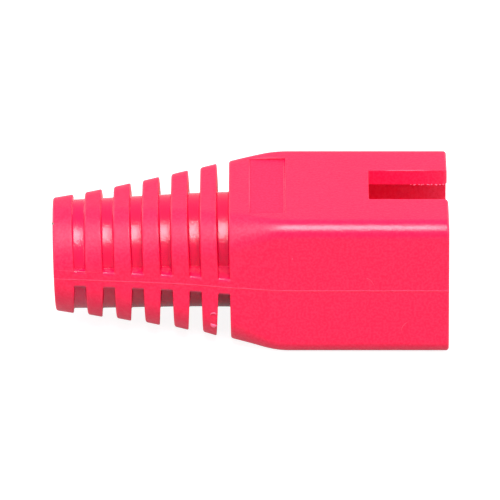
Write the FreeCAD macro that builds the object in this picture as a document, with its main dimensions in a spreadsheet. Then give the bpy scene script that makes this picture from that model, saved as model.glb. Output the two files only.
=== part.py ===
import FreeCAD, Part
import math
import os
import Sketcher
from FreeCAD import Vector

# A slip-on strain relief boot for an eight-way modular plug, moulded in one piece
# of soft PVC.  The cable axis is +X and the latch side is +Z.  The origin lies on
# the cable axis in the end face of the tail, and the plug goes in from +X.

# Driving sizes: millimetres, degrees for the draft and a plain number for the count.
SIZES = {
    # Tail: a cone that grows from round, but for four slight flats at its end, into
    # a rounded rectangle.  Its waist falls short of even growth by the hollows.
    "tail_end_diameter": 8.64,
    "tail_end_flat": 0.24,
    "waist_station": 7.5,
    "waist_width_hollow": 0.29907,
    "waist_height_hollow": 0.03025,
    "waist_corner_radius": 3.5,
    "root_width": 13.46,
    "root_height": 10.58,
    "root_corner_radius": 2.6,
    # Slots across the tail, with their lengths at the parting plane, the two side
    # spines that they leave whole, and their depths on the centre line of the top,
    # down to the tube round the cable.
    "end_ring_length": 1.6,
    "slot_count": 6,
    "slot_pitch": 2.226,
    "slot_length": 0.865,
    "slot_draft": 2.5,
    "spine_width": 1.42,
    "tail_end_slot_depth": 0.15,
    "root_slot_depth": 0.81,
    # Shoulder that widens from the tail to the housing, and the housing itself.
    "shoulder_length": 3.5,
    "housing_length": 13.3,
    "wall_thickness": 1.2,
    "housing_corner_radius": 1.2,
    # Seat of the plug inside the housing.
    "plug_width": 11.68,
    "plug_height": 8.58,
    "plug_clearance": 0.06,
    "seat_corner_radius": 0.4,
    "seat_depth": 13.1,
    # Way of the cable through the tail.
    "cable_bore_diameter": 6.2,
    "funnel_length": 3.0,
    "funnel_diameter": 8.0,
    # Cut-out over the latch of the plug.
    "latch_slot_width": 5.1,
    "latch_slot_length": 6.1,
    # Level window moulded into the top of the shoulder.
    "window_setback": 1.56,
    "window_length": 2.8,
    "window_width": 9.8,
    "window_depth": 0.03,
    # Broken edges of the tail end, the ribs and the shoulder, and the mouth's radius.
    # A rib has the larger one on its edge towards the tail.
    "tail_end_chamfer": 0.13,
    "rib_chamfer": 0.12,
    "rib_back_chamfer": 0.08,
    "shoulder_chamfer": 0.12,
    "mouth_radius": 0.22,
}

# Sizes and stations along the cable axis that follow from the driving ones.
TAIL_END_RADIUS = "((sizes.tail_end_diameter - sizes.tail_end_flat) / 2)"
TUBE_END_RADIUS = "(sizes.tail_end_diameter / 2 - sizes.tail_end_slot_depth)"
TUBE_ROOT_RADIUS = "(sizes.root_height / 2 - sizes.root_slot_depth)"
SEAT_WIDTH = "(sizes.plug_width + 2 * sizes.plug_clearance)"
SEAT_HEIGHT = "(sizes.plug_height + 2 * sizes.plug_clearance)"
HOUSING_WIDTH = f"({SEAT_WIDTH} + 2 * sizes.wall_thickness)"
HOUSING_HEIGHT = f"({SEAT_HEIGHT} + 2 * sizes.wall_thickness)"
SHOULDER = "(sizes.end_ring_length + (sizes.slot_count - 1) * sizes.slot_pitch + sizes.slot_length)"
HOUSING = f"({SHOULDER} + sizes.shoulder_length)"
MOUTH = f"({HOUSING} + sizes.housing_length)"
SEAT = f"({MOUTH} - sizes.seat_depth)"
WAIST_SHARE = f"(sizes.waist_station / {SHOULDER})"
WAIST_WIDTH = (
    f"(sizes.tail_end_diameter - sizes.waist_width_hollow"
    f" + (sizes.root_width - sizes.tail_end_diameter) * {WAIST_SHARE})"
)
WAIST_HEIGHT = (
    f"(sizes.tail_end_diameter - sizes.waist_height_hollow"
    f" + (sizes.root_height - sizes.tail_end_diameter) * {WAIST_SHARE})"
)
SHOULDER_RISE = f"(({HOUSING_HEIGHT} - sizes.root_height) / 2 / sizes.shoulder_length)"
WINDOW_FLOOR = f"(sizes.root_height / 2 + {SHOULDER_RISE} * sizes.window_setback - sizes.window_depth)"

# A face counts as square to the cable when its normal is this close to it.
SQUARE = 0.99
# Two stations closer than this are one, in millimetres.
TOUCH = 0.01


def make_sheet(doc):
    """The spreadsheet that holds each driving size under its own alias."""
    sheet = doc.addObject("Spreadsheet::Sheet", "sizes")
    for row, (alias, value) in enumerate(SIZES.items(), start=1):
        sheet.set(f"A{row}", alias)
        sheet.set(f"B{row}", str(value))
        sheet.setAlias(f"B{row}", alias)
    doc.recompute()


def number(item, expression):
    """The present value of an expression, to draw a sketch close to its final size."""
    return float(item.evalExpression(expression))


def new_sketch(body, role, name, offset="0"):
    """A sketch on one of the body's origin planes, moved along its normal by an expression."""
    sketch = body.newObject("Sketcher::SketchObject", name)
    plane = next(item for item in body.Origin.OriginFeatures if item.Role == role)
    sketch.AttachmentSupport = [(plane, "")]
    sketch.MapMode = "FlatFace"
    sketch.setExpression("AttachmentOffset.Base.z", offset)
    return sketch


def relate(sketch, kind, *where):
    """A geometric constraint of the sketch."""
    sketch.addConstraint(Sketcher.Constraint(kind, *where))


def constrain(sketch, name, expression, kind, *where):
    """A named dimension of the sketch, driven by an expression."""
    value = number(sketch, expression)
    index = sketch.addConstraint(Sketcher.Constraint(kind, *where, value))
    sketch.renameConstraint(index, name)
    sketch.setExpression(f"Constraints.{name}", expression)


def draw_polygon(sketch, corners):
    """A closed chain of lines, each of which starts at the corner of its own number."""
    first = sketch.GeometryCount
    count = len(corners)
    for start, end in zip(corners, corners[1:] + corners[:1]):
        sketch.addGeometry(Part.LineSegment(Vector(*start, 0), Vector(*end, 0)))
    for i in range(count):
        relate(sketch, "Coincident", first + i, 2, first + (i + 1) % count, 1)


def rounded_section(body, name, station, width, height, corner_radius):
    """A rounded rectangle centred on the cable axis, as four sides and four corner arcs."""
    sketch = new_sketch(body, "YZ_Plane", name, station)
    half_w = number(body, width) / 2
    half_h = number(body, height) / 2
    r = number(body, corner_radius)
    in_w = half_w - r
    in_h = half_h - r
    sides = [
        ((-in_w, -half_h), (in_w, -half_h)),
        ((half_w, -in_h), (half_w, in_h)),
        ((in_w, half_h), (-in_w, half_h)),
        ((-half_w, in_h), (-half_w, -in_h)),
    ]
    for start, end in sides:
        sketch.addGeometry(Part.LineSegment(Vector(*start, 0), Vector(*end, 0)))
    for i, centre in enumerate([(in_w, -in_h), (in_w, in_h), (-in_w, in_h), (-in_w, -in_h)]):
        circle = Part.Circle(Vector(*centre, 0), Vector(0, 0, 1), r)
        start_angle = (i - 1) * math.pi / 2
        sketch.addGeometry(Part.ArcOfCircle(circle, start_angle, start_angle + math.pi / 2))
    for i in range(4):
        corner = 4 + i
        relate(sketch, "Tangent", i, 2, corner, 1)
        relate(sketch, "Tangent", corner, 2, (i + 1) % 4, 1)
    for corner in (5, 6, 7):
        relate(sketch, "Equal", 4, corner)
    for side in (0, 2):
        relate(sketch, "Horizontal", side)
        relate(sketch, "Vertical", side + 1)
    relate(sketch, "Symmetric", 4, 3, 6, 3, -1, 1)
    constrain(sketch, "corner_radius", corner_radius, "Radius", 4)
    constrain(sketch, "width", width, "DistanceX", 3, 2, 1, 1)
    constrain(sketch, "height", height, "DistanceY", 0, 2, 2, 1)
    return sketch


def add_loft(body, name, sections, ruled):
    """Material lofted through cross-sections."""
    loft = body.newObject("PartDesign::AdditiveLoft", name)
    loft.Profile = sections[0]
    loft.Sections = sections[1:]
    loft.Ruled = ruled


def cut_away(body, kind, name, sketch, **settings):
    """A pocket or groove whose direction is checked by the volume that it takes away."""
    body.Document.recompute()
    before = body.Tip.Shape.Volume
    cut = body.newObject(kind, name)
    cut.Profile = sketch
    for key, value in settings.items():
        setattr(cut, key, value)
    body.Document.recompute()
    if cut.Shape.Volume >= before:
        raise RuntimeError(f"{name} takes nothing away")
    return cut


def dress_edges(body, kind, name, size, expression, wanted):
    """A fillet or chamfer, with its size bound to an expression, on the edges that a test accepts."""
    body.Document.recompute()
    base = body.Tip
    names = [f"Edge{i}" for i, edge in enumerate(base.Shape.Edges, start=1) if wanted(edge)]
    if not names:
        raise RuntimeError(f"{name} finds no edges")
    dressing = body.newObject(kind, name)
    dressing.Base = (base, names)
    dressing.setExpression(size, expression)
    body.Document.recompute()


def make_envelope(body):
    """The outside of the tail and the shoulder, without slots; returns the section of the housing."""
    tail_end = rounded_section(
        body, "TailEnd", "0", "sizes.tail_end_diameter", "sizes.tail_end_diameter", TAIL_END_RADIUS
    )
    waist = rounded_section(
        body, "TailWaist", "sizes.waist_station",
        WAIST_WIDTH, WAIST_HEIGHT, "sizes.waist_corner_radius",
    )
    root = rounded_section(
        body, "TailRoot", SHOULDER, "sizes.root_width", "sizes.root_height", "sizes.root_corner_radius"
    )
    housing = rounded_section(
        body, "HousingSection", HOUSING, HOUSING_WIDTH, HOUSING_HEIGHT, "sizes.housing_corner_radius"
    )
    add_loft(body, "TailCone", [tail_end, waist, root], ruled=False)
    add_loft(body, "Shoulder", [root, housing], ruled=True)
    return housing


def add_housing(body, section):
    """The straight housing that holds the plug, still solid."""
    housing = body.newObject("PartDesign::Pad", "Housing")
    housing.Profile = section
    housing.setExpression("Length", "sizes.housing_length")


def cut_slots(body):
    """The slots across the tail, each cut from above and from below to the parting plane.

    The wall of a slot towards the plug stands square to the cable, and the wall
    towards the tail leans back with the draft of the mould.
    """
    sketch = new_sketch(body, "XZ_Plane", "SlotPair")
    near = number(body, "sizes.end_ring_length")
    far = near + number(body, "sizes.slot_length")
    top = number(body, HOUSING_HEIGHT) / 2
    lean = top * math.tan(math.radians(number(body, "sizes.slot_draft")))
    draw_polygon(sketch, [(near, 0), (near - lean, -top), (far, -top), (far, top), (near - lean, top)])
    relate(sketch, "Horizontal", 1)
    relate(sketch, "PointOnObject", 0, 1, -1)
    relate(sketch, "Symmetric", 2, 1, 3, 1, -1)
    relate(sketch, "Symmetric", 1, 1, 4, 1, -1)
    constrain(sketch, "near", "sizes.end_ring_length", "DistanceX", -1, 1, 0, 1)
    constrain(sketch, "length", "sizes.slot_length", "DistanceX", 0, 1, 2, 1)
    constrain(sketch, "reach", HOUSING_HEIGHT, "DistanceY", 2, 1, 3, 1)
    constrain(
        sketch, "lean", f"({HOUSING_HEIGHT} / 2 * tan(sizes.slot_draft))", "DistanceX", 4, 1, 0, 1
    )
    slot = cut_away(
        body, "PartDesign::Pocket", "SlotPairCut", sketch, Type="ThroughAll", SideType="Symmetric"
    )
    pattern = body.newObject("PartDesign::LinearPattern", "Slots")
    pattern.Originals = [slot]
    pattern.Direction = (sketch, ["H_Axis"])
    pattern.setExpression("Length", "(sizes.slot_count - 1) * sizes.slot_pitch")
    pattern.setExpression("Occurrences", "sizes.slot_count")
    body.Tip = pattern


def add_tube(body):
    """The tube round the cable, which closes the floors of the slots."""
    sketch = new_sketch(body, "XZ_Plane", "TubeProfile")
    inside_shoulder = f"({SHOULDER} + sizes.shoulder_length / 2)"
    end = number(body, inside_shoulder)
    tail_radius = number(body, TUBE_END_RADIUS)
    root_radius = number(body, TUBE_ROOT_RADIUS)
    draw_polygon(sketch, [(0, 0), (end, 0), (end, root_radius), (0, tail_radius)])
    relate(sketch, "Coincident", 0, 1, -1, 1)
    relate(sketch, "Horizontal", 0)
    relate(sketch, "Vertical", 1)
    relate(sketch, "Vertical", 3)
    constrain(sketch, "end", inside_shoulder, "DistanceX", 0, 1, 0, 2)
    constrain(sketch, "tail_radius", TUBE_END_RADIUS, "DistanceY", 3, 2, 3, 1)
    constrain(sketch, "root_radius", TUBE_ROOT_RADIUS, "DistanceY", 1, 1, 1, 2)
    tube = body.newObject("PartDesign::Revolution", "CableTube")
    tube.Profile = sketch
    tube.ReferenceAxis = (sketch, ["H_Axis"])
    body.Document.recompute()


def dress_outside(body):
    """The broken outer edges of the tail end, the ribs and the shoulder, and the round mouth."""
    shoulder = number(body, SHOULDER)
    mouth = number(body, MOUTH)

    def facing(edge):
        """1 or -1 where a face square to the cable, towards the plug or the tail, meets the outside."""
        faces = body.Tip.Shape.ancestorsOfType(edge, Part.Face)
        flat = [face.normalAt(0, 0).x for face in faces if isinstance(face.Surface, Part.Plane)]
        square = [x for x in flat if abs(x) > SQUARE]
        on_tube = any(isinstance(face.Surface, Part.Cone) for face in faces)
        return round(square[0]) if len(square) == 1 and not on_tube else 0

    def at(edge, station):
        return abs(edge.BoundBox.Center.x - station) < TOUCH

    def on_rib(edge, side):
        return facing(edge) == side and not any(at(edge, station) for station in (0, shoulder, mouth))

    dress_edges(
        body, "PartDesign::Fillet", "MouthRadius", "Radius", "sizes.mouth_radius",
        lambda edge: facing(edge) == 1 and at(edge, mouth),
    )
    dress_edges(
        body, "PartDesign::Chamfer", "ShoulderChamfer", "Size", "sizes.shoulder_chamfer",
        lambda edge: facing(edge) == -1 and at(edge, shoulder),
    )
    dress_edges(
        body, "PartDesign::Chamfer", "TailEndChamfer", "Size", "sizes.tail_end_chamfer",
        lambda edge: facing(edge) == -1 and at(edge, 0),
    )
    dress_edges(
        body, "PartDesign::Chamfer", "RibChamfer", "Size", "sizes.rib_chamfer",
        lambda edge: on_rib(edge, -1),
    )
    dress_edges(
        body, "PartDesign::Chamfer", "RibBackChamfer", "Size", "sizes.rib_back_chamfer",
        lambda edge: on_rib(edge, 1),
    )


def make_spines(doc):
    """The two strips along the parting plane that stay whole, out to the envelope.

    They start inside the end ring, clear of the broken edge of the tail end.
    """
    body = doc.addObject("PartDesign::Body", "Spines")
    make_envelope(body)
    sketch = new_sketch(body, "XZ_Plane", "SpineTrim")
    start = number(body, "sizes.end_ring_length") / 2
    end = number(body, HOUSING)
    foot = number(body, "sizes.spine_width") / 2
    top = number(body, HOUSING_HEIGHT) / 2
    draw_polygon(
        sketch,
        [
            (0, -top), (end, -top), (end, -foot), (start, -foot),
            (start, foot), (end, foot), (end, top), (0, top),
        ],
    )
    relate(sketch, "Horizontal", 0)
    relate(sketch, "Horizontal", 2)
    relate(sketch, "Vertical", 1)
    relate(sketch, "PointOnObject", 0, 1, -2)
    for lower, upper in ((0, 7), (1, 6), (2, 5), (3, 4)):
        relate(sketch, "Symmetric", lower, 1, upper, 1, -1)
    constrain(sketch, "start", "sizes.end_ring_length / 2", "DistanceX", -1, 1, 3, 1)
    constrain(sketch, "end", HOUSING, "DistanceX", 0, 1, 0, 2)
    constrain(sketch, "width", "sizes.spine_width", "DistanceY", 3, 1, 3, 2)
    constrain(sketch, "reach", HOUSING_HEIGHT, "DistanceY", 7, 2, 7, 1)
    cut_away(
        body, "PartDesign::Pocket", "SpineTrimCut", sketch, Type="ThroughAll", SideType="Symmetric"
    )
    return body


def add_spines(body):
    """The spines joined to the slotted tail."""
    spines = make_spines(body.Document)
    join = body.newObject("PartDesign::Boolean", "SpineJoin")
    join.Type = "Fuse"
    join.setObjects([spines])
    body.Document.recompute()


def cut_seat(body):
    """The plug's seat, cut from the mouth."""
    section = rounded_section(
        body, "SeatSection", MOUTH, SEAT_WIDTH, SEAT_HEIGHT, "sizes.seat_corner_radius"
    )
    seat = cut_away(body, "PartDesign::Pocket", "PlugSeat", section, Type="Length")
    seat.setExpression("Length", "sizes.seat_depth")


def cut_cable_way(body):
    """The bore through the tail, with the funnel that opens to the seat."""
    sketch = new_sketch(body, "XZ_Plane", "CableWay")
    inside_seat = f"({SEAT} + sizes.seat_depth / 2)"
    bore = number(body, "sizes.cable_bore_diameter") / 2
    funnel = number(body, "sizes.funnel_diameter") / 2
    seat = number(body, SEAT)
    funnel_start = seat - number(body, "sizes.funnel_length")
    end = number(body, inside_seat)
    draw_polygon(
        sketch, [(0, 0), (end, 0), (end, funnel), (seat, funnel), (funnel_start, bore), (0, bore)]
    )
    relate(sketch, "Coincident", 0, 1, -1, 1)
    for line in (0, 2, 4):
        relate(sketch, "Horizontal", line)
    for line in (1, 5):
        relate(sketch, "Vertical", line)
    constrain(sketch, "end", inside_seat, "DistanceX", 0, 1, 0, 2)
    constrain(sketch, "funnel_radius", "sizes.funnel_diameter / 2", "DistanceY", 1, 1, 1, 2)
    constrain(sketch, "seat_floor", SEAT, "DistanceX", 0, 1, 2, 2)
    constrain(sketch, "funnel_length", "sizes.funnel_length", "DistanceX", 3, 2, 3, 1)
    constrain(sketch, "bore_radius", "sizes.cable_bore_diameter / 2", "DistanceY", 5, 2, 5, 1)
    cut_away(
        body, "PartDesign::Groove", "CableBore", sketch, ReferenceAxis=(sketch, ["H_Axis"])
    )


def cut_rectangle(body, name, height, start, length, width):
    """A rectangular cut that rises from a height through the top, centred across the boot."""
    sketch = new_sketch(body, "XY_Plane", name + "Outline", height)
    x0 = number(body, start)
    x1 = x0 + number(body, length)
    half = number(body, width) / 2
    draw_polygon(sketch, [(x0, -half), (x1, -half), (x1, half), (x0, half)])
    relate(sketch, "Horizontal", 0)
    relate(sketch, "Symmetric", 0, 1, 3, 1, -1)
    relate(sketch, "Symmetric", 1, 1, 2, 1, -1)
    constrain(sketch, "start", start, "DistanceX", -1, 1, 0, 1)
    constrain(sketch, "length", length, "DistanceX", 0, 1, 0, 2)
    constrain(sketch, "width", width, "DistanceY", 0, 1, 3, 1)
    cut_away(body, "PartDesign::Pocket", name, sketch, Type="ThroughAll", Reversed=True)


def make_boot(doc):
    """The whole boot as one body."""
    body = doc.addObject("PartDesign::Body", "Boot")
    body.Label = "boot"
    section = make_envelope(body)
    add_housing(body, section)
    cut_slots(body)
    add_tube(body)
    dress_outside(body)
    add_spines(body)
    cut_seat(body)
    cut_cable_way(body)
    cut_rectangle(
        body, "LatchSlot", "0", f"({MOUTH} - sizes.latch_slot_length)",
        "sizes.latch_slot_length", "sizes.latch_slot_width",
    )
    cut_rectangle(
        body, "ShoulderWindow", WINDOW_FLOOR, f"({SHOULDER} + sizes.window_setback)",
        "sizes.window_length", "sizes.window_width",
    )
    doc.recompute()
    return body


def check(doc, bodies):
    """Stop before anything is written if a feature failed or a shape is not sound."""
    for item in doc.Objects:
        if "Invalid" in item.State or "Error" in item.State:
            raise RuntimeError(f"{item.Name} failed: {item.State}")
    for body in bodies:
        if body.Shape.isNull() or not body.Shape.isValid() or len(body.Shape.Solids) != 1:
            raise RuntimeError(f"{body.Label} is not one sound solid")


def main():
    doc = FreeCAD.newDocument("rj45_boot")
    make_sheet(doc)
    boot = make_boot(doc)
    check(doc, [boot])
    os.makedirs("parts", exist_ok=True)
    boot.Shape.exportStep(f"parts/{boot.Label}.step")
    box = boot.Shape.BoundBox
    print(
        f"{boot.Label}: {box.XLength:.2f} x {box.YLength:.2f} x {box.ZLength:.2f} mm,"
        f" {boot.Shape.Volume:.1f} mm3, {len(boot.Shape.Faces)} faces"
    )


main()
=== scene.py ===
import math

import bmesh
import bpy
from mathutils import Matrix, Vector


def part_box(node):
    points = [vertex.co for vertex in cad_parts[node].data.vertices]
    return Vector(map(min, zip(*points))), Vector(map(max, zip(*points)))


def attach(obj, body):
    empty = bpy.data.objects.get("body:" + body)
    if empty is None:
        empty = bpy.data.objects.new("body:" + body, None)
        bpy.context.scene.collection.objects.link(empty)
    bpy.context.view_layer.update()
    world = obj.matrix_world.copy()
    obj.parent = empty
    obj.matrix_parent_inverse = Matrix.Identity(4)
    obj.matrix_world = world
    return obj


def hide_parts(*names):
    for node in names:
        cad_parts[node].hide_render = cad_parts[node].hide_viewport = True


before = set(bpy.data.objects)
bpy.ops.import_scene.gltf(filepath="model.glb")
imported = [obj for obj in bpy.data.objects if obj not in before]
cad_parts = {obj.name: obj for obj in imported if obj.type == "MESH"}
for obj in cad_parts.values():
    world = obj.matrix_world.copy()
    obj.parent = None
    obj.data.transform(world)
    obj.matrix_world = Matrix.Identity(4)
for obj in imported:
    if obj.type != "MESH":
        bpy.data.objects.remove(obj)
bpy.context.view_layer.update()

MM = 0.001
low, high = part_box("boot")


# ---------------------------------------------------------------- sizes of the boot, in millimetres
# Stations along the cable, from the tail's end.
END_RING = 1.6
SLOT_COUNT = 6
SLOT_PITCH = 2.226
SLOT_LENGTH = 0.865
WAIST_STATION = 7.5
SHOULDER = END_RING + (SLOT_COUNT - 1) * SLOT_PITCH + SLOT_LENGTH
HOUSING = SHOULDER + 3.5
MOUTH = high.x / MM
SEAT = MOUTH - 13.1
FUNNEL = SEAT - 3.0

# Sections, each as half width, half height and corner radius: the outside at the tail's
# end, the waist, the shoulder and the housing, and the plug's seat.
TAIL_END = (4.32, 4.32, 4.2)
WAIST = (5.5, 4.84, 3.5)
ROOT = (6.73, 5.29, 2.6)
BOX = (high.y / MM, high.z / MM, 1.2)
SEAT_SECTION = (5.9, 4.35, 0.4)
# Where a section keeps its half height.
HEIGHT = 1

BORE_RADIUS = 3.1
FUNNEL_RADIUS = 4.0
# The tube that closes the floors of the slots widens along the tail.
TUBE_RADIUS = 4.17
TUBE_END_RADIUS = 4.48
TUBE_END = SHOULDER + 1.75

# Half the height of the spine that the slots leave on each side.
SPINE = 0.71
# The wall on the tail's side of a slot leans, less in its upper half than in its lower half.
SLOT_LEAN = math.tan(math.radians(2.3))
LEAN_ABOVE = 0.5
LEAN_BELOW = 1.45
# How far the foot of a slot's wall stands out into the slot, so that no two columns meet.
WALL_FOOT = 0.008

# Radii of the edges.
TAIL_EDGE = 0.16
RIB_FRONT_EDGE = 0.17
RIB_BACK_EDGE = 0.1
SHOULDER_EDGE = 0.15
MOUTH_EDGE = 0.22
FLOOR_EDGE = 0.1
SPINE_EDGE = 0.26
SEAT_EDGE = 0.06
# How far the softened crease between shoulder and housing reaches, as a share of the shoulder.
CREASE = 0.3
# The height of the parting line's ridge.
RIDGE = 0.03

# The slot over the latch, which lies a little to the far side, and the heights of its cutter.
LATCH_LENGTH = 6.1
LATCH_HALF_WIDTH = 2.55
LATCH_OFFSET = 0.12
LATCH_WALL = LATCH_HALF_WIDTH + LATCH_OFFSET
LATCH_INNER_CORNER = 0.12
LATCH_MOUTH_CORNER = 0.3
LATCH_MOUTH_GAP = 0.03
LATCH_CUTTER_BOTTOM = 3.0
LATCH_CUTTER_TOP = 6.5

# The level window in the shoulder. Its floor lies by its depth under the slope where it begins.
WINDOW_START = 1.56
WINDOW_DEPTH = 0.05
WINDOW_BEGIN = SHOULDER + WINDOW_START
WINDOW_END = SHOULDER + 4.36
SHOULDER_SLOPE = (BOX[HEIGHT] - ROOT[HEIGHT]) / (HOUSING - SHOULDER)
WINDOW_FLOOR = ROOT[HEIGHT] + SHOULDER_SLOPE * WINDOW_START - WINDOW_DEPTH
WINDOW_HALF_WIDTH = 4.9
WINDOW_SWEEP = 0.32
WINDOW_CUTTER_TOP = 7.0

# The gate's mark on the last rib: its station, and its angle below the side's flat in degrees.
GATE_STATION = 12.26
GATE_ANGLE = 12.0
# Half axes of its dish, and how far outside the rib the dish's centre lies.
DISH_LENGTH = 0.3
DISH_HEIGHT = 0.66
DISH_DEPTH = 0.3
DISH_LIFT = 0.2

# How the soft boot hangs. The tail falls, the shoulder stands a hair high, and the ribs
# turn (in radians) and shift. Each change fades between two stations.
TAIL_FALL = 0.34
SHOULDER_LIFT = 0.08
FALL_SPAN = (-1.0, 13.5)
LIFT_SPAN = (14.5, 18.0)
MOUTH_TURN = 0.006
TAIL_TURN = 0.024
TURN_SPAN = (9.0, 18.0)
TAIL_SHIFT = 0.04
SHIFT_SPAN = (11.0, 14.0)

# How smooth the mould left the boot: 1 is as smooth as the floors of the slots, 0 is plain, and less is
# rougher. Above 0 polish also darkens the base colour: painted shade in the slot floors, on the spine's
# edges there, in the bore and at the window's end, and up to half as much along the housing's edges.
WINDOW_POLISH = -1.0
# Polishing the window's end also darkens it: painted shade.
SWEEP_POLISH_AND_SHADE = 0.8
EDGE_POLISH = 0.5
# Where the polish fades: over a slot's floor, along the window's end and along the housing.
FLOOR_SPAN = (0.03, 0.13)
SWEEP_SPAN = (WINDOW_END - 0.3, WINDOW_END - 0.1)
HOUSING_SPAN = (HOUSING - 2.0, HOUSING + 1.0)
# The share of the spine's edge that is smooth, and of the window's walls that is as rough
# as its floor.
SPINE_EDGE_SHARE = 0.9
WINDOW_WALL_SHARE = 0.75
# How much faster than its corner's arc an edge of the housing gains its polish.
EDGE_GAIN = 3.0
# The housing's polish stops this far under the ceiling of the seat.
UNDER_CEILING = 1.0
# Edges between faces that meet at a greater angle than this stay sharp.
SHARP_ANGLE = math.radians(32)
# How pale the parting line is: a painted highlight along its ridge.
PARTING_HIGHLIGHT_PALE = 0.6
# How near to a border a point still counts as on it, and for the window's side walls.
NEAR = 0.01
NEAR_WALL = 0.05

# The mesh: the rows of a quarter of a section, the angles of the columns round an edge,
# and the columns on the flat of a rib, as shares of its length.
QUADRANT_ROWS = 38
TURN = [math.radians(15.0 * k) for k in range(7)]
RIB_SHARES = (0.12, 0.3, 0.5, 0.7, 0.88)
# How far above the spine a quarter begins where the spine's edge isn't rounded.
FIRST_ROW = 0.03
# The rows of a spine: angles round its edge in degrees, then heights with the ridge's share.
SPINE_EDGE_ANGLES = (0.0, 30.0, 60.0, 90.0)
SPINE_ROWS = ((0.35, 0.0), (0.055, 0.0), (0.03, 0.7))
# The columns of the shoulder, the crease, the housing, the seat and the bore.
SHOULDER_COLUMNS = 5
CREASE_COLUMNS = 14
HOUSING_COLUMNS = 8
SEAT_COLUMNS = 6
BORE_COLUMNS = 7


# ---------------------------------------------------------------- sections
def smooth(t):
    """A smooth step from 0 to 1."""
    t = min(max(t, 0.0), 1.0)
    return t * t * (3 - 2 * t)


def fade(value, begin, end):
    """A smooth step from 0 at begin to 1 at end."""
    return smooth((value - begin) / (end - begin))


def outside(x):
    """The outside's section at a station."""
    if x <= SHOULDER:
        a = (x - WAIST_STATION) * (x - SHOULDER) / (WAIST_STATION * SHOULDER)
        b = x * (x - SHOULDER) / (WAIST_STATION * (WAIST_STATION - SHOULDER))
        c = x * (x - WAIST_STATION) / (SHOULDER * (SHOULDER - WAIST_STATION))
        return tuple(a * p + b * q + c * r for p, q, r in zip(TAIL_END, WAIST, ROOT))
    t = (x - SHOULDER) / (HOUSING - SHOULDER)
    if t > 1 + CREASE:
        t = 1.0
    elif t > 1 - CREASE:
        t -= (t - 1 + CREASE) ** 2 / (4 * CREASE)
    return tuple(p + (q - p) * t for p, q in zip(ROOT, BOX))


def inset(section, depth):
    """The same section, smaller by a depth all round."""
    return tuple(size - depth for size in section)


def circle(radius):
    """A round section."""
    return (radius, radius, radius)


def tube(x):
    """The radius of the tube that closes the floors of the slots."""
    return TUBE_RADIUS + (TUBE_END_RADIUS - TUBE_RADIUS) * x / TUBE_END


def side(section, z):
    """How far out the section's side lies at a height."""
    width, height, corner = section
    over = abs(z) - (height - corner)
    if over <= 0:
        return width
    return width - corner + math.sqrt(max(corner * corner - over * over, 0.0))


def quadrant(section, start):
    """Points of a section from a height on its side round to the middle of its top.

    They are spread half by length and half by turn, so that tight corners get their share.
    """
    width, height, corner = section
    rise = max(height - corner - start, 0.0)
    first = math.asin(min(max((start - height + corner) / corner, 0.0), 1.0))
    turn = math.pi / 2 - first
    flat = width - corner
    length = rise + corner * turn + flat
    on_side = rise / length
    on_arc = corner * turn / length + 1.0
    points = []
    for k in range(QUADRANT_ROWS + 1):
        m = 2.0 * k / QUADRANT_ROWS
        if m < on_side:
            points.append((width, start + m * length))
        elif m < on_side + on_arc:
            a = first + turn * (m - on_side) / on_arc
            points.append((flat + corner * math.cos(a), height - corner + corner * math.sin(a)))
        else:
            points.append((max(flat - (m - on_side - on_arc) * length, 0.0), height))
    return points


def band_rows():
    """Heights of the rows along a spine, with the share of the edge's rounding and of the ridge."""
    upper = []
    for degrees in SPINE_EDGE_ANGLES:
        a = math.radians(degrees)
        upper.append((SPINE - SPINE_EDGE * (1 - math.cos(a)), 1 - math.sin(a), 0.0))
    upper += [(z, 0.0, ridge) for z, ridge in SPINE_ROWS]
    lower = [(-z, edge, ridge) for z, edge, ridge in reversed(upper)]
    return upper + [(0.0, 0.0, 1.0)] + lower


BAND_ROWS = band_rows()


def column(x, section, spine=None, edge=0.0, lean=0.0, ridge=0.0):
    """One closed loop of points round the boot at a station.

    The spine is the section along the parting plane where it differs, and edge says how
    far the spine's own edge is rounded there.
    """
    spine = spine or section
    quarter = quadrant(section, SPINE + FIRST_ROW * (1 - edge))
    over = quarter + [(-y, z) for y, z in reversed(quarter[:-1])]
    near = []
    for z, rounding, height in BAND_ROWS:
        y = side(spine, z) - SPINE_EDGE * edge * rounding + ridge * height
        near.append((-y, z))
    under = [(y, -z) for y, z in reversed(over)]
    far = [(-y, z) for y, z in reversed(near)]
    loop = []
    for y, z in over + near + under + far:
        share = LEAN_ABOVE if z > 0 else LEAN_BELOW
        loop.append((x - lean * abs(z) * share, y, z))
    return loop


def spread(begin, end, count):
    """Stations in equal steps from begin, which is left out, to end."""
    return [begin + (end - begin) * k / count for k in range(1, count + 1)]


# ---------------------------------------------------------------- columns, from the tail's end and back
def rib_columns(begin, end):
    """The flat of a rib and its back edge, up to the wall of the next slot."""
    columns = []
    for share in RIB_SHARES:
        x = begin + (end - RIB_BACK_EDGE - begin) * share
        columns.append(column(x, outside(x), lean=SLOT_LEAN * share, ridge=RIDGE))
    for a in TURN:
        x = end - RIB_BACK_EDGE * (1 - math.sin(a))
        section = inset(outside(x), RIB_BACK_EDGE * (1 - math.cos(a)))
        columns.append(column(x, section, outside(x), a / math.pi, SLOT_LEAN, RIDGE))
    return columns


def slot_columns(begin, end):
    """The floor of a slot, with a fillet at the foot of each wall."""
    columns = []
    for a in TURN:
        x = begin + WALL_FOOT + FLOOR_EDGE * (1 - math.cos(a))
        section = circle(tube(x) + FLOOR_EDGE * (1 - math.sin(a)))
        columns.append(column(x, section, outside(x), 0.5 + a / math.pi, SLOT_LEAN, RIDGE))
    x = (begin + end) / 2
    columns.append(column(x, circle(tube(x)), outside(x), edge=1.0, ridge=RIDGE))
    for a in reversed(TURN):
        x = end - WALL_FOOT - FLOOR_EDGE * (1 - math.cos(a))
        section = circle(tube(x) + FLOOR_EDGE * (1 - math.sin(a)))
        columns.append(column(x, section, outside(x), 0.5 + a / math.pi, ridge=RIDGE))
    return columns


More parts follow.
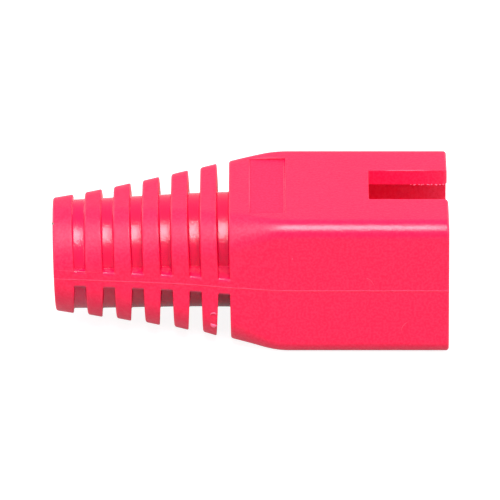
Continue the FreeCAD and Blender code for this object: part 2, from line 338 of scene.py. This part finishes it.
def front_edge_columns(wall, radius):
    """The front edge of a rib or of the shoulder, after the wall of a slot."""
    columns = []
    for a in reversed(TURN):
        x = wall + radius * (1 - math.sin(a))
        section = inset(outside(x), radius * (1 - math.cos(a)))
        columns.append(column(x, section, outside(x), a / math.pi, ridge=RIDGE))
    return columns


def tail_columns():
    """The ribs and the slots, from the tail's end to the shoulder's face."""
    columns = []
    for a in TURN:
        x = TAIL_EDGE * (1 - math.cos(a))
        section = inset(outside(x), TAIL_EDGE * (1 - math.sin(a)))
        columns.append(column(x, section, ridge=RIDGE * math.sin(a)))
    flat = TAIL_EDGE
    for i in range(SLOT_COUNT):
        begin = END_RING + i * SLOT_PITCH
        end = begin + SLOT_LENGTH
        front_edge = SHOULDER_EDGE if i == SLOT_COUNT - 1 else RIB_FRONT_EDGE
        columns += rib_columns(flat, begin)
        columns += slot_columns(begin, end)
        columns += front_edge_columns(end, front_edge)
        flat = end + front_edge
    return columns


def housing_columns():
    """The shoulder and the housing, and back through the mouth to the seat's end."""
    soft = HOUSING - CREASE * (HOUSING - SHOULDER)
    rim = MOUTH - MOUTH_EDGE
    stations = spread(SHOULDER + SHOULDER_EDGE, soft, SHOULDER_COLUMNS)
    stations += spread(soft, 2 * HOUSING - soft, CREASE_COLUMNS)
    stations += spread(stations[-1], rim, HOUSING_COLUMNS)[:-1]
    columns = [column(x, outside(x), ridge=RIDGE) for x in stations]
    for a in TURN:
        section = inset(BOX, MOUTH_EDGE * (1 - math.cos(a)))
        columns.append(column(rim + MOUTH_EDGE * math.sin(a), section, ridge=RIDGE * math.cos(a)))
    for a in TURN:
        section = inset(SEAT_SECTION, -SEAT_EDGE * (1 - math.sin(a)))
        columns.append(column(MOUTH - SEAT_EDGE * (1 - math.cos(a)), section))
    columns += [column(x, SEAT_SECTION) for x in spread(MOUTH, SEAT, SEAT_COLUMNS)]
    return columns


def inner_columns():
    """The seat's floor, the funnel and the bore, back to the tail's end."""
    columns = [column(SEAT, circle(FUNNEL_RADIUS)), column(FUNNEL, circle(BORE_RADIUS))]
    columns += [column(x, circle(BORE_RADIUS)) for x in spread(FUNNEL, 0.0, BORE_COLUMNS)]
    return columns


# ---------------------------------------------------------------- meshes and cutters
def make_object(name, points, faces):
    """An object in the scene, with its faces turned outwards and its points in metres."""
    mesh = bpy.data.meshes.new(name)
    mesh.from_pydata(points, [], faces)
    turned = bmesh.new()
    turned.from_mesh(mesh)
    bmesh.ops.recalc_face_normals(turned, faces=turned.faces)
    turned.to_mesh(mesh)
    turned.free()
    made = bpy.data.objects.new(name, mesh)
    bpy.context.scene.collection.objects.link(made)
    return made


def make_prism(name, outline, plane, start, end):
    """A closed solid from an outline in the XY or XZ plane, drawn out along the third axis."""
    points = []
    for w in (start, end):
        for u, v in outline:
            x, y, z = (u, v, w) if plane == "XY" else (u, w, v)
            points.append((x * MM, y * MM, z * MM))
    count = len(outline)
    faces = [tuple(range(count)), tuple(range(2 * count - 1, count - 1, -1))]
    faces += [(i, (i + 1) % count, count + (i + 1) % count, count + i) for i in range(count)]
    return make_object(name, points, faces)


def arc(u, v, radius, begin, end, steps=6):
    """Points of an arc in a cutter's outline, with its angles in degrees."""
    angles = [math.radians(begin + (end - begin) * k / steps) for k in range(steps + 1)]
    return [(u + radius * math.cos(a), v + radius * math.sin(a)) for a in angles]


def cut(piece, cutter):
    """Take the cutter's solid away from the piece for good."""
    modifier = piece.modifiers.new("cut", "BOOLEAN")
    modifier.operation = "DIFFERENCE"
    modifier.solver = "EXACT"
    modifier.object = cutter
    graph = bpy.context.evaluated_depsgraph_get()
    mesh = bpy.data.meshes.new_from_object(piece.evaluated_get(graph))
    piece.modifiers.clear()
    piece.data = mesh
    bpy.data.objects.remove(cutter)


def latch_cutter():
    """The slot over the latch, with its corners eased at the mouth."""
    begin = MOUTH - LATCH_LENGTH
    half = LATCH_HALF_WIDTH
    small = LATCH_INNER_CORNER
    ease = LATCH_MOUTH_CORNER
    outline = arc(begin + small, half - small, small, 180, 90)
    outline += arc(MOUTH - ease - LATCH_MOUTH_GAP, half + ease, ease, 270, 345)
    # One point beyond the mouth closes the eased corner.
    outline += [(MOUTH + 1, half + ease + 0.2)]
    outline += [(u, -v) for u, v in reversed(outline)]
    outline = [(u, v + LATCH_OFFSET) for u, v in outline]
    return make_prism("latch_cutter", outline, "XY", LATCH_CUTTER_BOTTOM, LATCH_CUTTER_TOP)


def window_cutter():
    """The level window in the shoulder, whose floor curves up at its end towards the plug."""
    sweep = WINDOW_SWEEP
    outline = [(WINDOW_BEGIN, WINDOW_CUTTER_TOP), (WINDOW_BEGIN, WINDOW_FLOOR)]
    outline += arc(WINDOW_END - sweep, WINDOW_FLOOR + sweep, sweep, 270, 345)
    outline += [(WINDOW_END, WINDOW_CUTTER_TOP)]
    return make_prism("window_cutter", outline, "XZ", -WINDOW_HALF_WIDTH, WINDOW_HALF_WIDTH)


def gate_place():
    """The middle of the gate's mark, low on the last rib's near side, the way out and the way up."""
    width, height, corner = outside(GATE_STATION)
    a = math.radians(GATE_ANGLE)
    out = Vector((0, -math.cos(a), -math.sin(a)))
    centre = Vector((GATE_STATION, corner - width, corner - height)) + out * corner
    up = out.cross(Vector((1, 0, 0)))
    return centre, out, up


def gate_cutter():
    """The shallow oval dish that the gate left on the last rib."""
    centre, out, up = gate_place()
    along = Vector((1, 0, 0))
    ball = bmesh.new()
    bmesh.ops.create_uvsphere(ball, u_segments=36, v_segments=18, radius=1.0)
    for vertex in ball.verts:
        x, y, z = vertex.co
        place = centre + along * DISH_LENGTH * x - up * DISH_HEIGHT * y
        place += out * (DISH_LIFT + DISH_DEPTH * z)
        vertex.co = place * MM
    mesh = bpy.data.meshes.new("gate_cutter")
    ball.to_mesh(mesh)
    ball.free()
    cutter = bpy.data.objects.new("gate_cutter", mesh)
    bpy.context.scene.collection.objects.link(cutter)
    return cutter


# ---------------------------------------------------------------- the boot
def droop(point):
    """The tail hangs a little below the line of the housing, and its ribs turn with it."""
    x, y, z = (c / MM for c in point)
    fall = -TAIL_FALL + (TAIL_FALL + SHOULDER_LIFT) * fade(x, *FALL_SPAN)
    fall -= SHOULDER_LIFT * fade(x, *LIFT_SPAN)
    turn = MOUTH_TURN + TAIL_TURN * (1 - fade(x, *TURN_SPAN))
    shift = TAIL_SHIFT * (1 - fade(x, *SHIFT_SPAN))
    return Vector(((x + shift - turn * z) * MM, y * MM, (z + fall) * MM))


def tail_polish_and_shade(x, y, z):
    """In the tail, the floors of the slots, the spine's edges there and the bore are smooth, and
    darkened by painted shade.
    """
    in_slot = x > END_RING - NEAR and (x - END_RING) % SLOT_PITCH < SLOT_LENGTH
    on_spine = 1.0 if in_slot and abs(z) > SPINE - SPINE_EDGE_SHARE * SPINE_EDGE else 0.0
    return max(1 - fade(math.hypot(y, z) - tube(x), *FLOOR_SPAN), on_spine)


def polish_and_shade(point):
    """How smooth the mould left a point, and so how dark its painted shade: the window is rough and the
    housing's edges smoother.
    """
    x, y, z = (c / MM for c in point)
    if x < SHOULDER + NEAR:
        return tail_polish_and_shade(x, y, z)
    width, height, corner = outside(x)
    along_window = WINDOW_BEGIN - NEAR < x < WINDOW_END + NEAR
    across_window = abs(y) < WINDOW_HALF_WIDTH + NEAR_WALL
    wall_top = WINDOW_FLOOR + WINDOW_WALL_SHARE * (height - WINDOW_FLOOR)
    if along_window and across_window and WINDOW_FLOOR - NEAR < z < wall_top:
        return WINDOW_POLISH + (SWEEP_POLISH_AND_SHADE - WINDOW_POLISH) * fade(x, *SWEEP_SPAN)
    if x > MOUTH - NEAR or z < SEAT_SECTION[HEIGHT] - UNDER_CEILING:
        return 0.0
    on_arc = min(abs(y) - width + corner, abs(z) - height + corner) / corner
    return EDGE_POLISH * smooth(on_arc * EDGE_GAIN) * fade(x, *HOUSING_SPAN)


def make_skin():
    """The whole boot as one closed mesh, with its slots cut and its tail drooping."""
    columns = tail_columns() + housing_columns() + inner_columns()
    rows = len(columns[0])
    count = len(columns)
    points = [(x * MM, y * MM, z * MM) for loop in columns for x, y, z in loop]
    faces = []
    for i in range(count):
        j = (i + 1) % count
        for k in range(rows):
            n = (k + 1) % rows
            faces.append((i * rows + k, j * rows + k, j * rows + n, i * rows + n))
    skin = make_object("boot_skin", points, faces)
    cut(skin, latch_cutter())
    cut(skin, window_cutter())
    cut(skin, gate_cutter())
    gloss_and_shade = skin.data.attributes.new("polish_and_shade", "FLOAT", "POINT")
    pale_and_highlight = skin.data.attributes.new("pale_and_highlight", "FLOAT", "POINT")
    for vertex in skin.data.vertices:
        # The parting line's paleness is a painted highlight along its ridge.
        on_parting_line = abs(vertex.co.z) < NEAR * MM
        gloss_and_shade.data[vertex.index].value = polish_and_shade(vertex.co)
        pale_and_highlight.data[vertex.index].value = PARTING_HIGHLIGHT_PALE if on_parting_line else 0.0
        vertex.co = droop(vertex.co)
    skin.data.shade_smooth()
    skin.data.set_sharp_from_angle(angle=SHARP_ANGLE)
    return skin


# ---------------------------------------------------------------- marks of moulding and handling, and painted highlights
# A bead is a thin raised line: its path, the way out of the surface and its greatest radius,
# in millimetres. At its ends it keeps a share of that radius.
BEAD_SIDES = 8
BEAD_END_SHARE = 0.3
TO_NEAR_SIDE = Vector((0, -1, 0))
# How pale the small pieces are. On the gate's mark, the latch slot's edge, the spine's edge and the
# window's rims this paleness is a painted highlight.
GATE_HIGHLIGHT_PALE = 1.0
SCUFF_AND_HIGHLIGHT_PALE = 0.45
LATCH_EDGE_HIGHLIGHT_PALE = 0.35
FLASH_PALE = 1.0
SPECK_PALE = 0.0

# The gate's rim is an arch over the dish, and its lip a short thick bead that turns down; both are
# pale, as painted highlights.
RIM_HALF_LENGTH = 0.25
RIM_FOOT = 0.5
RIM_RISE = 0.2
RIM_SUNK = 0.02
RIM_STEPS = 10
RIM_RADIUS = 0.06
# The lip's start, middle and end, as distances along the boot and below the dish's centre.
LIP = ((-0.24, 0.34), (0.0, 0.5), (0.26, 0.38))
LIP_TILT = 0.3
LIP_RADIUS = 0.2

# A hair and two scratches on the near side: x and z of three points, and the radius.
SIDE_MARKS = (
    ((26.74, -3.41), (26.88, -2.96), (27.28, -2.63), 0.022),
    ((24.03, 1.07), (24.36, 0.92), (24.58, 0.55), 0.02),
    ((18.34, 2.64), (18.39, 2.7), (18.42, 2.8), 0.03),
)
# A painted highlight along the upper edge of the near spine, from the end ring to the first rib.
SPINE_HIGHLIGHT_BEGIN = 0.3
SPINE_HIGHLIGHT_STEP = 0.14
SPINE_HIGHLIGHT_POINTS = 24
SPINE_HIGHLIGHT_LIFT = 0.004
SPINE_HIGHLIGHT_RADIUS = 0.022
# The window's rims, pale as painted highlights: the far one stops short of the end, and the tail one of
# the corners.
FAR_RIM_GAP = 0.1
FAR_RIM_STEPS = 8
FAR_RIM_RADIUS = 0.045
FAR_RIM_OUT = Vector((0, -0.5, 0.866))
TAIL_RIM_BEGIN = -4.6
TAIL_RIM_LENGTH = 9.4
TAIL_RIM_STEPS = 12
TAIL_RIM_RADIUS = 0.03
TAIL_RIM_OUT = Vector((0, 0, 1))
# The rounding of the latch slot's far edge, pale as a painted highlight, and how deep it lies in the
# corner.
ROUNDING_BEGIN = MOUTH - 6.0
ROUNDING_LENGTH = 5.75
ROUNDING_STEPS = 20
ROUNDING_SUNK = 0.035
ROUNDING_RADIUS = 0.06
ROUNDING_OUT = Vector((0, -0.7, 0.7))
# The flash is a row of short crumbs, a little proud of the wall and sagging in the middle.
# A few sines vary their places and sizes.
FLASH_BEGIN = MOUTH - 2.85
FLASH_END = MOUTH - 0.4
FLASH_COUNT = 13
FLASH_STEPS = 4
FLASH_OUT = 0.01
FLASH_SAG = 0.01
SPECK = ((-0.03, -2.14, 3.74), (0.06, -2.24, 3.69), (0.12, -2.36, 3.64))
SPECK_OUT = Vector((0, -0.52, 0.854))
SPECK_STEPS = 4
SPECK_RADIUS = 0.09


def bend(first, middle, last, steps=8):
    """Points of a curve through three points."""
    points = []
    for k in range(steps + 1):
        t = k / steps
        a = 2 * (t - 0.5) * (t - 1)
        b = 4 * t * (1 - t)
        c = 2 * t * (t - 0.5)
        points.append(Vector(first) * a + Vector(middle) * b + Vector(last) * c)
    return points


def add_bead(points, faces, path, out, thickness):
    """Add a bead that lies along a path on the boot and thins out at its ends."""
    base = len(points)
    last = len(path) - 1
    for k, place in enumerate(path):
        along = (path[min(k + 1, last)] - path[max(k - 1, 0)]).normalized()
        across = along.cross(out).normalized()
        swell = math.sin(math.pi * k / last)
        radius = thickness * (BEAD_END_SHARE + (1 - BEAD_END_SHARE) * swell)
        for s in range(BEAD_SIDES):
            a = 2 * math.pi * s / BEAD_SIDES
            offset = (out * math.cos(a) + across * math.sin(a)) * radius
            points.append(droop((place + offset) * MM))
    for k in range(last):
        near = base + k * BEAD_SIDES
        far = near + BEAD_SIDES
        for s in range(BEAD_SIDES):
            t = (s + 1) % BEAD_SIDES
            faces.append((near + s, near + t, far + t, far + s))
    faces.append(tuple(base + s for s in reversed(range(BEAD_SIDES))))
    faces.append(tuple(base + last * BEAD_SIDES + s for s in range(BEAD_SIDES)))


def make_beads(name, beads, material, pale_and_highlight):
    """One small piece made of beads, with its paleness, that rides with the boot."""
    points = []
    faces = []
    for path, out, thickness in beads:
        add_bead(points, faces, path, out, thickness)
    piece = make_object(name, points, faces)
    piece.data.shade_smooth()
    layer = piece.data.attributes.new("pale_and_highlight", "FLOAT", "POINT")
    for vertex in piece.data.vertices:
        layer.data[vertex.index].value = pale_and_highlight
    piece.data.materials.append(material)
    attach(piece, "root")


def make_gate_mark(material):
    """The rim above the gate's dish and the thick lip below it, pale as painted highlights."""
    centre, out, up = gate_place()
    rim = []
    for k in range(RIM_STEPS + 1):
        a = math.pi * k / RIM_STEPS
        along = Vector((math.cos(a) * RIM_HALF_LENGTH, 0, 0))
        rim.append(centre + along + up * (RIM_FOOT + RIM_RISE * math.sin(a)) - out * RIM_SUNK)
    lip = bend(*(centre - up * below + Vector((along, 0, 0)) for along, below in LIP))
    beads = [(rim, out, RIM_RADIUS), (lip, out - up * LIP_TILT, LIP_RADIUS)]
    make_beads("gate_mark", beads, material, GATE_HIGHLIGHT_PALE)


def make_scuffs_and_highlights(material):
    """The marks on the near side, and painted highlights: a line along the near spine's upper edge, and
    the window's far rim and tail rim.
    """
    face = -high.y / MM
    beads = []
    for *marks, radius in SIDE_MARKS:
        path = bend(*((x, face, z) for x, z in marks))
        beads.append((path, TO_NEAR_SIDE, radius))
    spine_highlight = []
    for k in range(SPINE_HIGHLIGHT_POINTS):
        x = SPINE_HIGHLIGHT_BEGIN + k * SPINE_HIGHLIGHT_STEP
        spine_highlight.append(Vector((x, -side(outside(x), SPINE) - SPINE_HIGHLIGHT_LIFT, SPINE)))
    beads.append((spine_highlight, TO_NEAR_SIDE, SPINE_HIGHLIGHT_RADIUS))
    far_rim = []
    for k in range(FAR_RIM_STEPS + 1):
        x = WINDOW_BEGIN + (WINDOW_END - WINDOW_BEGIN - FAR_RIM_GAP) * k / FAR_RIM_STEPS
        far_rim.append(Vector((x, WINDOW_HALF_WIDTH, 0.0)))
    tail_rim = []
    for k in range(TAIL_RIM_STEPS + 1):
        y = TAIL_RIM_BEGIN + TAIL_RIM_LENGTH * k / TAIL_RIM_STEPS
        tail_rim.append(Vector((WINDOW_BEGIN, y, 0.0)))
    for point in far_rim + tail_rim:
        point.z = outside(point.x)[HEIGHT]
    beads.append((far_rim, FAR_RIM_OUT, FAR_RIM_RADIUS))
    beads.append((tail_rim, TAIL_RIM_OUT, TAIL_RIM_RADIUS))
    make_beads("scuffs_and_highlights", beads, material, SCUFF_AND_HIGHLIGHT_PALE)


def make_latch_marks(material):
    """The rounded far edge of the latch slot, pale as a painted highlight, and the ragged flash under
    its far wall.
    """
    rounding = []
    for k in range(ROUNDING_STEPS + 1):
        x = ROUNDING_BEGIN + ROUNDING_LENGTH * k / ROUNDING_STEPS
        rounding.append(Vector((x, LATCH_WALL + ROUNDING_SUNK, high.z / MM - ROUNDING_SUNK)))
    beads = [(rounding, ROUNDING_OUT, ROUNDING_RADIUS)]
    make_beads("latch_edge", beads, material, LATCH_EDGE_HIGHLIGHT_PALE)

    flash = []
    for k in range(FLASH_COUNT):
        step = k + 0.35 * math.sin(k * 2.3)
        x = FLASH_BEGIN + (FLASH_END - FLASH_BEGIN) * step / (FLASH_COUNT - 1)
        radius = 0.03 + 0.028 * abs(math.sin(k * 1.7 + 0.4))
        half = 0.05 + 0.06 * abs(math.sin(k * 3.1))
        z = SEAT_SECTION[HEIGHT] + 0.02 * math.sin(k * 4.3)
        first = Vector((x, LATCH_WALL - FLASH_OUT, z))
        middle = first + Vector((half, 0, -FLASH_SAG))
        last = first + Vector((2 * half, 0, 0))
        flash.append((bend(first, middle, last, FLASH_STEPS), TO_NEAR_SIDE, radius))
    make_beads("latch_flash", flash, material, FLASH_PALE)


def make_dirt_speck(material):
    """A speck of dirt on the edge of the end ring."""
    beads = [(bend(*SPECK, SPECK_STEPS), SPECK_OUT, SPECK_RADIUS)]
    make_beads("dirt_speck", beads, material, SPECK_PALE)


# ---------------------------------------------------------------- camera
# The photograph's width and scale in pixels give the width of the view.
PHOTO_WIDTH = 500
PIXELS_PER_MM = 12.93
VIEW_WIDTH = PHOTO_WIDTH / PIXELS_PER_MM * MM
ELEVATION = math.radians(26.1)
DISTANCE = 0.62
SENSOR_WIDTH = 36
towards_camera = Vector((0, -math.cos(ELEVATION), math.sin(ELEVATION)))
target = Vector((15.14 * MM, 0, 0.01 * MM))

camera_data = bpy.data.cameras.new("camera")
camera_data.sensor_width = SENSOR_WIDTH
camera_data.lens = SENSOR_WIDTH * DISTANCE / VIEW_WIDTH
camera_data.clip_start = 0.01
camera_data.clip_end = 10
camera = bpy.data.objects.new("camera", camera_data)
camera.location = target + towards_camera * DISTANCE
camera.rotation_mode = "QUATERNION"
camera.rotation_quaternion = (-towards_camera).to_track_quat("-Z", "Y")
bpy.context.scene.collection.objects.link(camera)
bpy.context.scene.camera = camera


# ---------------------------------------------------------------- node helpers
class Nodes:
    """A short way to write a node tree."""

    def __init__(self, tree):
        self.tree = tree
        tree.nodes.clear()

    def add(self, kind, inputs=None, **settings):
        """Add a node with its settings, and feed its inputs."""
        node = self.tree.nodes.new(kind)
        for key, value in settings.items():
            setattr(node, key, value)
        for key, value in (inputs or {}).items():
            self.feed(node.inputs[key], value)
        return node

    def feed(self, socket, value):
        """Link an output to a socket, or set the socket's value."""
        if isinstance(value, bpy.types.NodeSocket):
            self.tree.links.new(value, socket)
        else:
            socket.default_value = value

    def math(self, operation, a, b):
        """The result of a maths operation on two values."""
        node = self.add("ShaderNodeMath", operation=operation)
        self.feed(node.inputs[0], a)
        self.feed(node.inputs[1], b)
        return node.outputs[0]

    def ramp(self, value, low, high, to_low=0.0, to_high=1.0):
        """A smooth step from to_low at low to to_high at high."""
        limits = {"From Min": low, "From Max": high, "To Min": to_low, "To Max": to_high}
        node = self.add(
            "ShaderNodeMapRange", {"Value": value, **limits}, interpolation_type="SMOOTHSTEP"
        )
        return node.outputs["Result"]

    def mix_color(self, factor, a, b):
        """A mix of two colours: a at factor 0 and b at factor 1."""
        node = self.add("ShaderNodeMix", data_type="RGBA")
        self.feed(node.inputs["Factor"], factor)
        self.feed(node.inputs["A"], a)
        self.feed(node.inputs["B"], b)
        return node.outputs["Result"]

    def noise(self, vector, scale, detail=2.0, roughness=0.5):
        """Noise between 0 and 1, with its scale per metre."""
        node = self.add(
            "ShaderNodeTexNoise",
            {"Vector": vector, "Scale": scale, "Detail": detail, "Roughness": roughness},
        )
        return node.outputs["Fac"]

    def seen(self, glossy_share):
        """1 for camera and transmission rays, glossy_share for glossy rays and 0 for the rest."""
        rays = self.add("ShaderNodeLightPath").outputs
        direct = self.math("MAXIMUM", rays["Is Camera Ray"], rays["Is Transmission Ray"])
        return self.math(
            "MAXIMUM", direct, self.math("MULTIPLY", rays["Is Glossy Ray"], glossy_share)
        )


def make_material(name):
    """A new material, and its empty node tree."""
    material = bpy.data.materials.new(name)
    material.use_nodes = True
    return material, Nodes(material.node_tree)


# ---------------------------------------------------------------- soft PVC and dirt
# The PVC's colour where its clouds are dark and light, in its speckles, where it is polished (a darker
# red that is painted shade) and where it is scarred or pale with a painted highlight.
PVC_DARK = (0.93, 0.0, 0.05, 1)
PVC_LIGHT = (0.98, 0.001, 0.061, 1)
PVC_SPECKLE = (0.99, 0.019, 0.086, 1)
PVC_POLISHED_SHADE = (0.72, 0.0, 0.066, 1)
# A pale red for scars and scratches, and for painted highlights.
PVC_PALE_AND_HIGHLIGHT = (1.0, 0.1, 0.2, 1)
PVC_IOR = 1.5
PVC_SHEEN = (1.0, 0.93, 1.0, 1)
DIRT_DARK = (0.12, 0.09, 0.09, 1)
DIRT_LIGHT = (0.3, 0.2, 0.21, 1)
DIRT_ROUGHNESS = 0.8
# The speckles' noise turns from none to full between two values, and they colour a share.
SPECKLE_LOW = 0.36
SPECKLE_HIGH = 0.64
SPECKLE_SHARE = 0.6
# Scales of the patterns, per metre.
GRAIN_SCALE = 9000
CLOUD_SCALE = 420
SPECKLE_SCALE = 5200
PIT_SCALE = 3600
DIRT_SCALE = 20000
# Roughness at a polish of -1 and of 1, and what the grain adds.
ROUGH = 0.54
SMOOTH = 0.18
GRAIN_ROUGHNESS = 0.12
# The bump's shares of grain and pits, its strength where plain and where polished, and
# its depth and the bevel's radius in millimetres.
BUMP_GRAIN = 0.6
BUMP_PITS = 0.4
BUMP_PLAIN = 0.7
BUMP_POLISHED = 0.6
BUMP_DEPTH = 0.03
BEVEL_RADIUS = 0.04


def make_pvc():
    """Pinkish red soft PVC, with clouds, speckles, grain and pits; polish adds painted shade, and pale
    adds marks and painted highlights, by attribute.
    """
    material, n = make_material("soft_pvc_pink_red")
    place = n.add("ShaderNodeNewGeometry").outputs["Position"]
    polished_and_shaded = n.add("ShaderNodeAttribute", attribute_name="polish_and_shade").outputs["Fac"]
    pale_and_highlight = n.add("ShaderNodeAttribute", attribute_name="pale_and_highlight").outputs["Fac"]

    grain = n.noise(place, GRAIN_SCALE, 3.0, 0.6)
    cloud = n.noise(place, CLOUD_SCALE, 3.0, 0.55)
    speckle = n.ramp(n.noise(place, SPECKLE_SCALE, 1.0, 0.5), SPECKLE_LOW, SPECKLE_HIGH)
    pits = n.add("ShaderNodeTexVoronoi", {"Vector": place, "Scale": PIT_SCALE}, feature="F1")

    base = n.mix_color(cloud, PVC_DARK, PVC_LIGHT)
    base = n.mix_color(n.math("MULTIPLY", speckle, SPECKLE_SHARE), base, PVC_SPECKLE)
    # Painted shade: polish darkens the base in the slot floors, the bore, the window's end and a little
    # along the housing's edges.
    base = n.mix_color(polished_and_shaded, base, PVC_POLISHED_SHADE)
    # Paleness: real scratches and scars, and painted highlights on edges, rims, the gate's mark and the
    # parting line.
    base = n.mix_color(pale_and_highlight, base, PVC_PALE_AND_HIGHLIGHT)

    evenness = n.ramp(polished_and_shaded, -1, 1, ROUGH, SMOOTH)
    roughness = n.math("ADD", evenness, n.math("MULTIPLY", grain, GRAIN_ROUGHNESS))

    height = n.math(
        "ADD",
        n.math("MULTIPLY", grain, BUMP_GRAIN),
        n.math("MULTIPLY", pits.outputs["Distance"], BUMP_PITS),
    )
    bevel = n.add("ShaderNodeBevel", {"Radius": BEVEL_RADIUS * MM}, samples=6)
    bump = n.add(
        "ShaderNodeBump",
        {
            "Strength": n.ramp(polished_and_shaded, 0, 1, BUMP_PLAIN, BUMP_POLISHED),
            "Distance": BUMP_DEPTH * MM,
            "Height": height,
            "Normal": bevel.outputs["Normal"],
        },
    )
    shader = n.add(
        "ShaderNodeBsdfPrincipled",
        {
            "Base Color": base,
            "Roughness": roughness,
            "IOR": PVC_IOR,
            "Specular Tint": PVC_SHEEN,
            "Normal": bump.outputs["Normal"],
        },
    )
    n.add("ShaderNodeOutputMaterial", {"Surface": shader.outputs["BSDF"]})
    return material


def make_dirt():
    """A speck of grey dust and grease."""
    material, n = make_material("grey_dirt")
    place = n.add("ShaderNodeNewGeometry").outputs["Position"]
    base = n.mix_color(n.noise(place, DIRT_SCALE), DIRT_DARK, DIRT_LIGHT)
    shader = n.add("ShaderNodeBsdfPrincipled", {"Base Color": base, "Roughness": DIRT_ROUGHNESS})
    n.add("ShaderNodeOutputMaterial", {"Surface": shader.outputs["BSDF"]})
    return material


# ---------------------------------------------------------------- the pieces
pvc = make_pvc()
dirt = make_dirt()
make_gate_mark(pvc)
make_scuffs_and_highlights(pvc)
make_latch_marks(pvc)
make_dirt_speck(dirt)
skin = make_skin()
skin.data.materials.clear()
skin.data.materials.append(pvc)
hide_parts("boot")
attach(skin, "root")


# ---------------------------------------------------------------- floor
WHITE = (1, 1, 1, 1)
FLOOR_COLOR = (0.28, 0.28, 0.3, 1)
FLOOR_ROUGHNESS = 0.6
FLOOR_HALF = 2.0
# How far under the boot's lowest point the floor lies, so that no two faces share a plane.
FLOOR_GAP = 0.02 * MM
# How brightly the camera sees the floor, and the shares of the floor's and the world's
# white that glossy rays see.
FLOOR_GLOW = 0.9
FLOOR_GLOSSY_SHARE = 0.4
WORLD_GLOSSY_SHARE = 0.6


def make_floor():
    """A plain white table whose glow hides its edge, and whose grey base keeps a faint shadow."""
    mesh = bpy.data.meshes.new("floor")
    height = low.z - FLOOR_GAP
    corners = ((-1, -1), (1, -1), (1, 1), (-1, 1))
    points = [(x * FLOOR_HALF, y * FLOOR_HALF, height) for x, y in corners]
    mesh.from_pydata(points, [], [(0, 1, 2, 3)])
    floor = bpy.data.objects.new("floor", mesh)
    bpy.context.scene.collection.objects.link(floor)
    material, n = make_material("white_table")
    glow = n.math("MULTIPLY", n.seen(FLOOR_GLOSSY_SHARE), FLOOR_GLOW)
    shader = n.add(
        "ShaderNodeBsdfPrincipled",
        {
            "Base Color": FLOOR_COLOR,
            "Roughness": FLOOR_ROUGHNESS,
            "Emission Color": WHITE,
            "Emission Strength": glow,
        },
    )
    n.add("ShaderNodeOutputMaterial", {"Surface": shader.outputs["BSDF"]})
    mesh.materials.append(material)


make_floor()


# ---------------------------------------------------------------- light
# Area lamps: name, azimuth and elevation in degrees, distance, width and height in metres,
# and radiance. Azimuth 0 is the camera's side, and a radiance of 1 looks white.
SOFTBOXES = (
    ("key", 0, 65, 0.38, 0.15, 0.205, 16.0),
    ("left", -66, 32, 0.42, 0.42, 0.42, 1.9),
    ("right", 66, 32, 0.42, 0.42, 0.42, 1.9),
    ("back_left", -126, 10, 0.42, 0.3, 0.3, 2.2),
    ("back_right", 126, 10, 0.42, 0.3, 0.3, 2.2),
)
# The world is dim up to the horizon, and at its lightest where a direction's z passes SKY_RISE.
SKY_RISE = 0.36
SKY_DIM = 0.06
SKY_LIGHT = 0.4


def add_softbox(name, azimuth, elevation, distance, width, height, radiance):
    """An area lamp that faces the boot."""
    data = bpy.data.lights.new(name, "AREA")
    data.shape = "RECTANGLE"
    data.size = width
    data.size_y = height
    data.energy = radiance * math.pi * width * height
    lamp = bpy.data.objects.new(name, data)
    a = math.radians(azimuth)
    e = math.radians(elevation)
    direction = Vector((math.sin(a) * math.cos(e), -math.cos(a) * math.cos(e), math.sin(e)))
    lamp.location = target + direction * distance
    lamp.rotation_mode = "QUATERNION"
    lamp.rotation_quaternion = (-direction).to_track_quat("-Z", "Y")
    bpy.context.scene.collection.objects.link(lamp)


def make_world():
    """A world that looks white to the camera and lights the boot softly, mostly from above."""
    world = bpy.data.worlds.new("world")
    world.use_nodes = True
    n = Nodes(world.node_tree)
    direction = n.add("ShaderNodeTexCoord").outputs["Generated"]
    upward = n.add("ShaderNodeSeparateXYZ", {"Vector": direction}).outputs["Z"]
    light = n.ramp(upward, 0.0, SKY_RISE, SKY_DIM, SKY_LIGHT)
    strength = n.math("MAXIMUM", light, n.seen(WORLD_GLOSSY_SHARE))
    background = n.add("ShaderNodeBackground", {"Color": WHITE, "Strength": strength})
    n.add("ShaderNodeOutputWorld", {"Surface": background.outputs["Background"]})
    return world


for softbox in SOFTBOXES:
    add_softbox(*softbox)
bpy.context.scene.world = make_world()
bpy.context.scene.view_settings.view_transform = "Standard"
